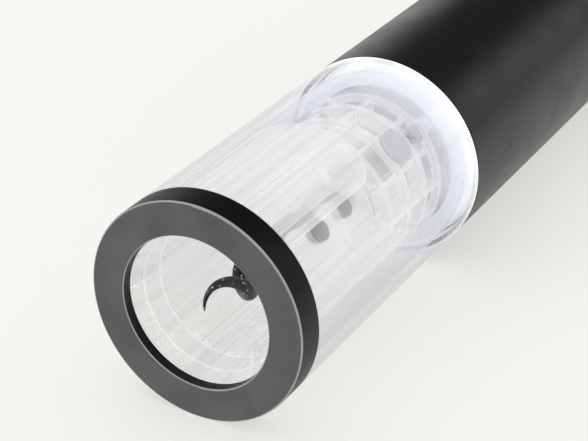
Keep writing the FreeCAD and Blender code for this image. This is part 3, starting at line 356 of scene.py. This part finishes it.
@dataclass(frozen=True)
class FacedPlastic(Finish):
    """Moulded black plastic whose front face is painted paler grey, painted light standing in for the front
    lamp, with a painted highlight on the front edge.
    """

    name: str
    colour: Colour
    painted_lit_face_colour: Colour
    roughness: float = 0.45
    specular: float = 0.2
    face_depth: float = 0.6 * MM
    painted_bevel_highlight: Colour = (0.30, 0.30, 0.31)

    def material(self) -> bpy.types.Material:
        """Builds the plastic, with the painted-light face tone parted from the black sides along the front
        edge.
        """
        material, sheet, shader, place = self.start()
        grain = place_effect(sheet, Effect.GRAIN, place, Scale=2600.0)
        split = sheet.node("ShaderNodeSeparateXYZ")
        sheet.join(place, split.inputs[0])
        start = MOUTH_Y + self.face_depth
        front = sheet.remap(split.outputs["Y"], start, start + self.face_depth, 1.0, 0.0)
        turn = sheet.node("ShaderNodeSeparateXYZ")
        sheet.join(sheet.node("ShaderNodeTexCoord").outputs["Normal"], turn.inputs[0])
        facing = sheet.math("ABSOLUTE", turn.outputs["Y"], 0.0)
        # Painted light: the flat front face gets a paler tone that stands in for the front lamp's light on
        # it.
        face = sheet.mix(sheet.level(grain["Shade"], 0.0, 0.25), self.painted_lit_face_colour, self.colour)
        flat = sheet.math("MULTIPLY", sheet.remap(facing, 0.9, 0.98, 0.0, 1.0), front)
        base = sheet.mix(flat, self.colour, face)
        # Painted highlight: the rounded front edge between face and side turns a lighter grey.
        rise = sheet.remap(facing, 0.25, 0.5, 0.0, 1.0)
        bevel = sheet.math("MULTIPLY", rise, sheet.remap(facing, 0.85, 0.97, 1.0, 0.0))
        base = sheet.mix(sheet.math("MULTIPLY", bevel, front), base, self.painted_bevel_highlight)
        sheet.join(base, shader.inputs["Base Color"])
        rough = sheet.level(grain["Shade"], self.roughness - 0.04, self.roughness + 0.05)
        sheet.join(rough, shader.inputs["Roughness"])
        sheet.join(sheet.bump(grain["Height"], 0.2, GRAIN_RELIEF), shader.inputs["Normal"])
        shader.inputs["Specular IOR Level"].default_value = self.specular
        return material


@dataclass(frozen=True)
class HazyPlastic(Finish):
    """Thin clear or milky plastic.

    It is see-through face on and denser edge on, with painted reflection edge on, painted edge highlights,
    drawn lines and a painted lamp glow that is strongest near the grip.
    """

    name: str
    colour: Colour
    # Colour edge on; the change from the face-on colour is painted reflection.
    painted_rim_colour: Colour
    face_alpha: float
    rim_alpha: float
    painted_edge_highlight: float = 0.0
    # Strength of the painted lamp glow; the plastic itself is no lamp.
    glow: float = 0.0
    glow_reach: float = 40.0 * MM
    # How dense and lamp-tinted the plastic is painted near the grip, as painted glow.
    painted_glow_haze: float = 0.0
    painted_glow_rise: float = 1.4
    streak: float = 0.08
    tint: float = 0.0
    roughness: float = 0.12
    edge_width: float = 0.45 * MM
    streak_scale: float = 260.0
    line_scale: float = 520.0
    # Colour of the painted lamp glow near the grip.
    lamp_tint: Colour = (0.93, 0.95, 1.0)
    line_shade: float = 0.60

    def material(self) -> bpy.types.Material:
        """Builds the plastic from its opacity, its tint and painted light: edge highlights, edge-on
        reflection and lamp glow.
        """
        material, sheet, shader, place = self.start()
        streaks = sheet.noise(sheet.stretched(place, (1.0, LONG_STREAK, 1.0)), self.streak_scale, 2.0)
        cloud = sheet.noise(place, 150.0, 3.0)
        weight = sheet.node("ShaderNodeLayerWeight")
        weight.inputs["Blend"].default_value = 0.4
        rim = sheet.remap(weight.outputs["Facing"], 0.2, 0.95, 0.0, 1.0)
        # Painted highlight mask: sharp edges are made white, denser and glowing, standing in for light caught
        # on them.
        line = sheet.edges(self.edge_width, self.painted_edge_highlight)
        split = sheet.node("ShaderNodeSeparateXYZ")
        sheet.join(place, split.inputs[0])
        # Nearness to the grip, where the light ring sits; it drives the painted lamp glow.
        near = sheet.remap(split.outputs["Y"], GRIP_Y - self.glow_reach, GRIP_Y, 0.0, 1.0)
        dense = sheet.remap(sheet.math("MAXIMUM", rim, line), 0.0, 1.0, self.face_alpha, self.rim_alpha)
        # Painted lamp glow: the plastic is made denser near the grip so the glow shows.
        painted_glow_mist = sheet.math("MULTIPLY", sheet.math("POWER", near, self.painted_glow_rise), self.painted_glow_haze)
        dense = sheet.math("MAXIMUM", dense, painted_glow_mist)
        uneven = sheet.level(streaks, 1.0 - self.streak, 1.0 + self.streak)
        sheet.join(sheet.math("MULTIPLY", dense, uneven), shader.inputs["Alpha"])
        # Painted reflection: the colour changes edge on; the denser edge-on opacity above is the wall's own
        # thickness.
        base = sheet.mix(rim, self.colour, self.painted_rim_colour)
        lines = sheet.noise(sheet.stretched(place, (1.0, LONG_LINE, 1.0)), self.line_scale, 1.0)
        drawn = sheet.math("MULTIPLY", sheet.remap(lines, 0.38, 0.50, 1.0, 0.0), self.tint)
        base = sheet.mix(drawn, base, tuple(c * self.line_shade for c in self.colour))
        # Painted lamp glow: the colour turns to the lamp tint near the grip.
        base = sheet.mix(sheet.math("MULTIPLY", near, self.painted_glow_haze), base, self.lamp_tint)
        # Painted highlight: sharp edges turn white.
        sheet.join(sheet.mix(line, base, (1.0, 1.0, 1.0)), shader.inputs["Base Color"])
        # Painted light: emission near the grip and on sharp edges, though the plastic is no lamp.
        lit = sheet.math("MULTIPLY", sheet.math("ADD", near, sheet.math("MULTIPLY", line, 0.5)), self.glow)
        sheet.join(lit, shader.inputs["Emission Strength"])
        sheet.join(sheet.mix(cloud, (0.90, 0.94, 1.0), (1.0, 1.0, 1.0)), shader.inputs["Emission Color"])
        rough = sheet.level(cloud, self.roughness, self.roughness + 0.08)
        sheet.join(rough, shader.inputs["Roughness"])
        return material


@dataclass(frozen=True)
class GlowPlastic(Finish):
    """Translucent plastic lit from behind."""

    name: str
    colour: Colour
    glow: Colour
    strength: float

    def material(self) -> bpy.types.Material:
        """Builds the lit plastic, brighter in soft patches."""
        material, sheet, shader, place = self.start()
        cloud = sheet.level(sheet.noise(place, 120.0, 2.0), 0.0, 1.0)
        dim = tuple(c * 0.75 for c in self.glow)
        sheet.join(sheet.mix(cloud, dim, self.glow), shader.inputs["Emission Color"])
        shader.inputs["Emission Strength"].default_value = self.strength
        shader.inputs["Base Color"].default_value = (*self.colour, 1.0)
        sheet.join(sheet.remap(cloud, 0.0, 1.0, 0.35, 0.5), shader.inputs["Roughness"])
        return material


@dataclass(frozen=True)
class Metal(Finish):
    """Plated, turned or sintered metal."""

    name: str
    colour: Colour
    roughness: float = 0.3
    streak: tuple[float, float, float] = (1.0, 1.0, 1.0)
    grain_scale: float = 1800.0

    def material(self) -> bpy.types.Material:
        """Builds the metal with streaks, stains and bright edges."""
        material, sheet, shader, place = self.start()
        streaks = sheet.noise(sheet.stretched(place, self.streak), self.grain_scale, 3.0)
        stain = sheet.noise(place, 220.0, 4.0, 0.6)
        wear = place_effect(sheet, Effect.WEAR, place, Edge=0.54)["Mask"]
        dull = tuple(c * 0.72 for c in self.colour)
        bright = tuple(min(1.0, c * 1.2) for c in self.colour)
        base = sheet.mix(sheet.remap(stain, 0.35, 0.7, 0.0, 1.0), self.colour, dull)
        sheet.join(sheet.mix(wear, base, bright), shader.inputs["Base Color"])
        shader.inputs["Metallic"].default_value = 1.0
        rough = sheet.level(streaks, self.roughness - 0.06, self.roughness + 0.1)
        sheet.join(rough, shader.inputs["Roughness"])
        sheet.join(sheet.bump(streaks, 0.15, 0.00004), shader.inputs["Normal"])
        return material


@dataclass(frozen=True)
class NonStick(Finish):
    """Black sprayed non-stick coating with pale flecks."""

    name: str
    colour: Colour
    fleck: Colour
    roughness: float = 0.42
    specular: float = 0.3

    def material(self) -> bpy.types.Material:
        """Builds the coating."""
        material, sheet, shader, place = self.start()
        coat = place_effect(sheet, Effect.SPECKLE, place, Scale=1250.0)
        wear = place_effect(sheet, Effect.WEAR, place, Edge=0.53)["Mask"]
        base = sheet.mix(coat["Flecks"], self.colour, self.fleck)
        worn = sheet.mix(sheet.math("MULTIPLY", wear, 0.3), base, self.fleck)
        sheet.join(worn, shader.inputs["Base Color"])
        shader.inputs["Specular IOR Level"].default_value = self.specular
        rough = sheet.level(coat["Height"], self.roughness - 0.08, self.roughness + 0.1)
        sheet.join(rough, shader.inputs["Roughness"])
        sheet.join(sheet.bump(coat["Height"], 0.35, 0.0001), shader.inputs["Normal"])
        return material


@dataclass(frozen=True)
class BoardMask(Finish):
    """Solder mask over fibreglass, with faint copper tracks under it."""

    name: str
    colour: Colour
    track: Colour

    def material(self) -> bpy.types.Material:
        """Builds the board."""
        material, sheet, shader, place = self.start()
        bricks = sheet.node("ShaderNodeTexBrick", offset=0.5)
        bricks.inputs["Scale"].default_value = 120.0
        bricks.inputs["Mortar Size"].default_value = 0.012
        sheet.join(place, bricks.inputs["Vector"])
        weave = sheet.noise(place, 1400.0, 2.0)
        base = sheet.mix(bricks.outputs["Fac"], self.colour, self.track)
        darker = tuple(c * 0.85 for c in self.colour)
        sheet.join(sheet.mix(sheet.math("MULTIPLY", weave, 0.4), base, darker), shader.inputs["Base Color"])
        sheet.join(sheet.level(weave, 0.25, 0.4), shader.inputs["Roughness"])
        sheet.join(sheet.bump(bricks.outputs["Fac"], 0.2, 0.00005), shader.inputs["Normal"])
        return material


# ---------------------------------------------------------------- finishes of this object

# The ring's paler face tone is painted light for the front light on the face; its front edge has a painted
# highlight.
RING_BLACK = FacedPlastic("ring_black", (0.005, 0.005, 0.0052), (0.092, 0.092, 0.093), roughness=0.42)
GRIP_BLACK = MouldedPlastic("grip_black", (0.0045, 0.0045, 0.0047), roughness=0.38,
                            grain_depth=0.12, wear=0.1, dust=0.05)
BEZEL_BLACK = MouldedPlastic("bezel_black", (0.010, 0.010, 0.011), roughness=0.22, grain_depth=0.05)
BUTTON_GREY = MouldedPlastic("button_grey", (0.035, 0.035, 0.038), roughness=0.5, grain_depth=0.3)
FRAME_BLACK = MouldedPlastic("frame_black", (0.03, 0.03, 0.032), roughness=0.55)
REFLECTOR_WHITE = MouldedPlastic("reflector_white", (0.86, 0.88, 0.92), roughness=0.4, wear=0.0, dust=0.0)
GEAR_ACETAL = MouldedPlastic("gear_acetal", (0.80, 0.78, 0.70), roughness=0.35, wear=0.4)
SWITCH_BLACK = MouldedPlastic("switch_black", (0.02, 0.02, 0.02), roughness=0.4)
PLUNGER_RED = MouldedPlastic("plunger_red", (0.45, 0.05, 0.04), roughness=0.4)
CELL_BLUE = MouldedPlastic("cell_blue", (0.03, 0.12, 0.40), roughness=0.25, grain_depth=0.05)
# In these hazy plastics the glow and glow haze are painted lamp light, edge highlights are painted, and the
# rim colour is painted reflection.
TUBE_CLEAR = HazyPlastic("tube_clear", (0.90, 0.90, 0.92), (0.50, 0.50, 0.52), face_alpha=0.05,
                         rim_alpha=0.66, painted_edge_highlight=0.4, glow=0.20, glow_reach=18.0 * MM, painted_glow_haze=0.98,
                         streak=0.10, roughness=0.04)
GUIDE_FROSTED = HazyPlastic("guide_frosted", (0.86, 0.83, 0.82), (0.93, 0.93, 0.95), face_alpha=0.28,
                            rim_alpha=0.68, painted_edge_highlight=0.8, glow=0.19, glow_reach=200.0 * MM, streak=0.0,
                            tint=0.45, roughness=0.3)
LENS_SMOKE = HazyPlastic("lens_smoke", (0.50, 0.53, 0.58), (0.75, 0.77, 0.80), face_alpha=0.45, rim_alpha=0.8,
                         painted_edge_highlight=0.6)
PAD_SMOKE = HazyPlastic("pad_smoke", (0.20, 0.20, 0.20), (0.45, 0.45, 0.46), face_alpha=0.6, rim_alpha=0.9,
                        painted_edge_highlight=0.3, roughness=0.4)
LIGHT_DIFFUSER = GlowPlastic("light_diffuser", (0.80, 0.83, 0.92), (0.80, 0.86, 1.0), 0.25)
LAMP_WHITE = GlowPlastic("lamp_white", (0.95, 0.97, 1.0), (0.85, 0.92, 1.0), 1.4)
WORM_COATING = NonStick("worm_coating", (0.004, 0.004, 0.0042), (0.55, 0.55, 0.56))
ZINC = Metal("bright_zinc", (0.62, 0.62, 0.63), roughness=0.3)
PLATE_STEEL = Metal("plate_steel", (0.50, 0.50, 0.51), roughness=0.35, streak=(1.0, 0.1, 1.0))
BRONZE = Metal("sintered_bronze", (0.62, 0.42, 0.20), roughness=0.45)
FERRITE = Metal("ferrite", (0.08, 0.08, 0.085), roughness=0.6)
ROTOR_IRON = Metal("rotor_iron", (0.30, 0.30, 0.32), roughness=0.4, streak=(0.1, 3.0, 0.1))
COPPER = Metal("enamelled_copper", (0.72, 0.33, 0.16), roughness=0.3, streak=(0.2, 0.2, 2.0))
NICKEL = Metal("nickel", (0.70, 0.68, 0.62), roughness=0.22)
BOARD_GREEN = BoardMask("board_green", (0.02, 0.16, 0.06), (0.05, 0.26, 0.10))
BOARD_WHITE = BoardMask("board_white", (0.80, 0.84, 0.88), (0.88, 0.90, 0.92))

FINISHES: dict[str, Finish] = {
    "ring_plastic": RING_BLACK, "clear_plastic": TUBE_CLEAR, "guide_plastic": GUIDE_FROSTED,
    "light_plastic": LIGHT_DIFFUSER, "grip_plastic": GRIP_BLACK, "bezel_plastic": BEZEL_BLACK,
    "button_plastic": BUTTON_GREY, "frame_plastic": FRAME_BLACK, "gear_plastic": GEAR_ACETAL,
    "switch_plastic": SWITCH_BLACK, "plunger_plastic": PLUNGER_RED, "circuit_board": BOARD_GREEN,
    "lamp": LAMP_WHITE, "coated_steel": WORM_COATING, "plate_steel": PLATE_STEEL, "screw_steel": ZINC,
    "bearing_bronze": BRONZE, "magnet": FERRITE, "rotor_iron": ROTOR_IRON, "copper": COPPER,
    "contact_nickel": NICKEL, "cell_sleeve": CELL_BLUE, "pad_rubber": PAD_SMOKE,
    "lens_plastic": LENS_SMOKE, "reflector_plastic": REFLECTOR_WHITE, "lamp_board": BOARD_WHITE,
}


class Palette:
    """Makes each finish's material once."""

    def __init__(self) -> None:
        """Builds the shared effects."""
        self.made: dict[str, bpy.types.Material] = {}
        for build in (grain_group, wear_group, dust_group, speckle_group):
            build()

    def get(self, finish: Finish) -> bpy.types.Material:
        """Returns the finish's material."""
        if finish.name not in self.made:
            self.made[finish.name] = finish.material()
        return self.made[finish.name]

    def dress(self, piece: bpy.types.Object, finish: Finish) -> None:
        """Gives a piece one finish in all its slots."""
        material = self.get(finish)
        if not piece.material_slots:
            piece.data.materials.append(material)
        for slot in piece.material_slots:
            slot.material = material


# ---------------------------------------------------------------- mesh helpers


def finished(name: str, shape: bmesh.types.BMesh, body: str,
             smooth_below: float = 40.0) -> bpy.types.Object:
    """Turns a bmesh into a piece that rides on a body.

    Args:
        name: the piece's name.
        shape: its mesh, in the frame's own coordinates.
        body: the body that it rides on.
        smooth_below: edges flatter than this angle, in degrees, are shaded smooth.

    Returns:
        The new object.
    """
    bmesh.ops.remove_doubles(shape, verts=shape.verts, dist=1e-6)
    bmesh.ops.recalc_face_normals(shape, faces=shape.faces)
    limit = math.radians(smooth_below)
    for face in shape.faces:
        face.smooth = True
    for edge in shape.edges:
        edge.smooth = len(edge.link_faces) == 2 and edge.calc_face_angle(0.0) < limit
    mesh = bpy.data.meshes.new(name)
    shape.to_mesh(mesh)
    shape.free()
    piece = bpy.data.objects.new(name, mesh)
    bpy.context.scene.collection.objects.link(piece)
    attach(piece, body)
    LOG.info("%s: %d faces on %s", name, len(mesh.polygons), body)
    return piece


def lathe(outline: Sequence[tuple[float, float]], steps: int = 192) -> bmesh.types.BMesh:
    """Spins an outline about the opener's axis.

    Args:
        outline: closed list of (depth from the mouth, radius) corners in metres.
        steps: how many steps the full turn has.

    Returns:
        The closed shape.
    """
    shape = bmesh.new()
    verts = [shape.verts.new((radius, MOUTH_Y + depth, AXIS_Z)) for depth, radius in outline]
    edges = [shape.edges.new((a, b)) for a, b in zip(verts, verts[1:] + verts[:1])]
    bmesh.ops.spin(shape, geom=verts + edges, cent=(0.0, 0.0, AXIS_Z), axis=AXIS, dvec=(0.0, 0.0, 0.0),
                   angle=2 * math.pi, steps=steps, use_merge=True, use_duplicate=False)
    return shape


def rounded_corner(centre: tuple[float, float], radius: float, start: float, end: float,
                   steps: int = 6) -> list[tuple[float, float]]:
    """Corner points of an arc in an outline.

    Args:
        centre: depth and radius of the arc's centre.
        radius: the arc's radius.
        start: first angle in degrees, from the depth direction.
        end: last angle in degrees.
        steps: how many steps the arc has.

    Returns:
        The arc's (depth, radius) points.
    """
    angles = [math.radians(start + (end - start) * i / steps) for i in range(steps + 1)]
    return [(centre[0] + radius * math.cos(a), centre[1] + radius * math.sin(a)) for a in angles]


# ---------------------------------------------------------------- sub-assemblies


@dataclass
class ClearTube:
    """The window tube, remade with finely stepped walls."""

    edge: float = 0.3 * MM
    wall: float = 2.4 * MM
    spigot_wall: float = 1.05 * MM

    def build(self, palette: Palette) -> None:
        """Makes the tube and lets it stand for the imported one."""
        low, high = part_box("clear_tube")
        ring_end = corner("end_ring", 1).y - MOUTH_Y
        grip_start = corner("handle_sleeve", 0).y - MOUTH_Y
        front, rear = low.y - MOUTH_Y, high.y - MOUTH_Y
        bore = BODY_R - self.wall
        spigot = bore + self.spigot_wall
        outline = [(front, bore), (front, spigot), (ring_end, spigot)]
        outline += rounded_corner((ring_end + self.edge, BODY_R - self.edge), self.edge, 180, 90)
        outline += rounded_corner((grip_start - self.edge, BODY_R - self.edge), self.edge, 90, 0)
        outline += [(grip_start, spigot), (rear, spigot), (rear, bore)]
        piece = finished("window_tube", lathe(outline, 256), HOUSING)
        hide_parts("clear_tube")
        palette.dress(piece, TUBE_CLEAR)


@dataclass
class ButtonMarks:
    """Small raised arrowheads on the two buttons."""

    half_width: float = 1.7 * MM
    length: float = 2.2 * MM
    height: float = 0.12 * MM
    sink: float = 0.35 * MM
    directions: dict[str, int] = field(default_factory=lambda: {"up_button": 1, "down_button": -1})

    def build(self, palette: Palette) -> None:
        """Makes one arrowhead per button."""
        for node, way in self.directions.items():
            low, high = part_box(node)
            centre = Vector(((low.x + high.x) / 2, (low.y + high.y) / 2, high.z - self.sink))
            shape = bmesh.new()
            bmesh.ops.create_circle(shape, cap_ends=True, segments=3, radius=self.half_width)
            turn = Matrix.Rotation(math.radians(90.0 if way > 0 else -90.0), 4, "Z")
            stretch = Matrix.Diagonal((1.0, self.length / (1.5 * self.half_width), 1.0, 1.0))
            bmesh.ops.transform(shape, matrix=Matrix.Translation(centre) @ stretch @ turn, verts=shape.verts)
            grown = bmesh.ops.extrude_face_region(shape, geom=list(shape.faces))
            lifted = [v for v in grown["geom"] if isinstance(v, bmesh.types.BMVert)]
            bmesh.ops.translate(shape, verts=lifted, vec=(0.0, 0.0, self.height))
            bmesh.ops.bevel(shape, geom=list(shape.edges), offset=self.height / 3, offset_type="OFFSET",
                            affect="EDGES", segments=2, profile=0.5, material=-1)
            mark = finished(node.replace("button", "arrow"), shape, node)
            palette.dress(mark, ZINC)


class PackedPieces:
    """The CAD pieces that keep their own meshes."""

    def build(self, palette: Palette) -> None:
        """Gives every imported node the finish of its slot."""
        slots = {row["node"]: row["material_slot"] for row in frame["record"]["subparts"]}
        for node, piece in frame["nodes"].items():
            palette.dress(piece, FINISHES[slots[node]])
        LOG.info("dressed %d packed pieces", len(frame["nodes"]))


# ---------------------------------------------------------------- studio


@dataclass
class SoftBox:
    """A soft studio lamp aimed at a point."""

    name: str
    place: tuple[float, float, float]
    width: float
    height: float
    power: float
    aim: tuple[float, float, float] = (0.0, 0.0, 0.03)
    tint: Colour = (1.0, 1.0, 1.0)
    lights: bool = True
    mirrored: bool = True

    def build(self) -> None:
        """Makes the lamp."""
        data = bpy.data.lights.new(self.name, "AREA")
        data.shape = "RECTANGLE"
        data.size = self.width
        data.size_y = self.height
        data.energy = self.power
        data.color = self.tint
        lamp = bpy.data.objects.new(self.name, data)
        lamp.location = self.place
        lamp.visible_diffuse = self.lights
        lamp.visible_glossy = self.mirrored
        towards = Vector(self.aim) - Vector(self.place)
        lamp.rotation_euler = towards.to_track_quat("-Z", "Y").to_euler()
        bpy.context.scene.collection.objects.link(lamp)


@dataclass
class Studio:
    """Pale floor, soft lamps, surroundings and the camera."""

    azimuth: float = 29.73
    elevation: float = 28.41
    lens: float = 106.05
    eye: Vector = field(default_factory=lambda: Vector((0.1675, -0.2522, 0.1852)))
    floor_half: float = 6.0
    floor_colour: Colour = (0.30, 0.297, 0.286)
    floor_light: Colour = (0.594, 0.588, 0.566)
    floor_roughness: float = 0.8
    floor_shade: float = 0.99
    floor_cloud_scale: float = 6.0
    room_strength: float = 1.04
    flag_strength: float = 0.10
    lamps: tuple[SoftBox, ...] = (
        SoftBox("key_lamp", (-0.55, 0.35, 0.95), 0.5, 0.5, 1.2, mirrored=False),
        SoftBox("front_lamp", (-0.15, -1.2, 0.25), 0.5, 0.4, 3.0, mirrored=False),
        SoftBox("left_strip", (-0.80, 0.98, 0.20), 0.7, 0.35, 0.8, lights=False),
        SoftBox("right_strip", (0.65, 0.92, 0.42), 0.6, 0.5, 0.85, lights=False),
    )

    def floor(self) -> None:
        """Makes the floor with a faintly uneven paint."""
        shape = bmesh.new()
        bmesh.ops.create_grid(shape, x_segments=1, y_segments=1, size=self.floor_half)
        mesh = bpy.data.meshes.new("studio_floor")
        shape.to_mesh(mesh)
        shape.free()
        floor = bpy.data.objects.new("studio_floor", mesh)
        bpy.context.scene.collection.objects.link(floor)
        material = bpy.data.materials.new("floor_paint")
        material.use_nodes = True
        sheet = Sheet(material.node_tree)
        shader = material.node_tree.nodes["Principled BSDF"]
        place = sheet.node("ShaderNodeTexCoord").outputs["Object"]
        cloud = sheet.noise(place, self.floor_cloud_scale, 2.0)
        soft = tuple(c * self.floor_shade for c in self.floor_colour)
        sheet.join(sheet.mix(cloud, soft, self.floor_colour), shader.inputs["Base Color"])
        shader.inputs["Roughness"].default_value = self.floor_roughness
        shader.inputs["Emission Color"].default_value = (*self.floor_light, 1.0)
        shader.inputs["Emission Strength"].default_value = 1.0
        floor.data.materials.append(material)

    def surroundings(self) -> None:
        """Makes a white room whose mirror image in glossy faces is dark, as between black studio flags."""
        world = bpy.data.worlds.new("studio")
        world.use_nodes = True
        sheet = Sheet(world.node_tree)
        background = world.node_tree.nodes["Background"]
        ray = sheet.node("ShaderNodeLightPath")
        strength = sheet.remap(ray.outputs["Is Glossy Ray"], 0.0, 1.0, self.room_strength, self.flag_strength)
        sheet.join(strength, background.inputs["Strength"])
        background.inputs["Color"].default_value = (1.0, 1.0, 1.0, 1.0)
        bpy.context.scene.world = world

    def camera(self) -> None:
        """Places the camera by its view direction and its distance from the mouth."""
        a, e = math.radians(self.azimuth), math.radians(self.elevation)
        back = Vector((math.sin(a) * math.cos(e), -math.cos(a) * math.cos(e), math.sin(e)))
        right = Vector((math.cos(a), math.sin(a), 0.0))
        up = back.cross(right)
        data = bpy.data.cameras.new("camera")
        data.lens = self.lens
        data.clip_start = 0.01
        camera = bpy.data.objects.new("camera", data)
        turn = Matrix((right, up, back)).transposed().to_4x4()
        camera.matrix_world = Matrix.Translation(Vector((0.0, MOUTH_Y, AXIS_Z)) + self.eye) @ turn
        bpy.context.scene.collection.objects.link(camera)
        bpy.context.scene.camera = camera

    def build(self) -> None:
        """Sets the whole studio up."""
        self.floor()
        self.surroundings()
        self.camera()
        for lamp in self.lamps:
            lamp.build()
        scene = bpy.context.scene
        scene.view_settings.view_transform = "Standard"
        scene.cycles.use_denoising = True
        scene.cycles.max_bounces = 24
        scene.cycles.transmission_bounces = 12
        scene.cycles.transparent_max_bounces = 48
        scene.cycles.glossy_bounces = 6
        scene.cycles.diffuse_bounces = 4


def main() -> None:
    """Builds the opener's looks and its studio."""
    palette = Palette()
    PackedPieces().build(palette)
    ClearTube().build(palette)
    ButtonMarks().build(palette)
    Studio().build()


if __name__ == "__main__":
    main()
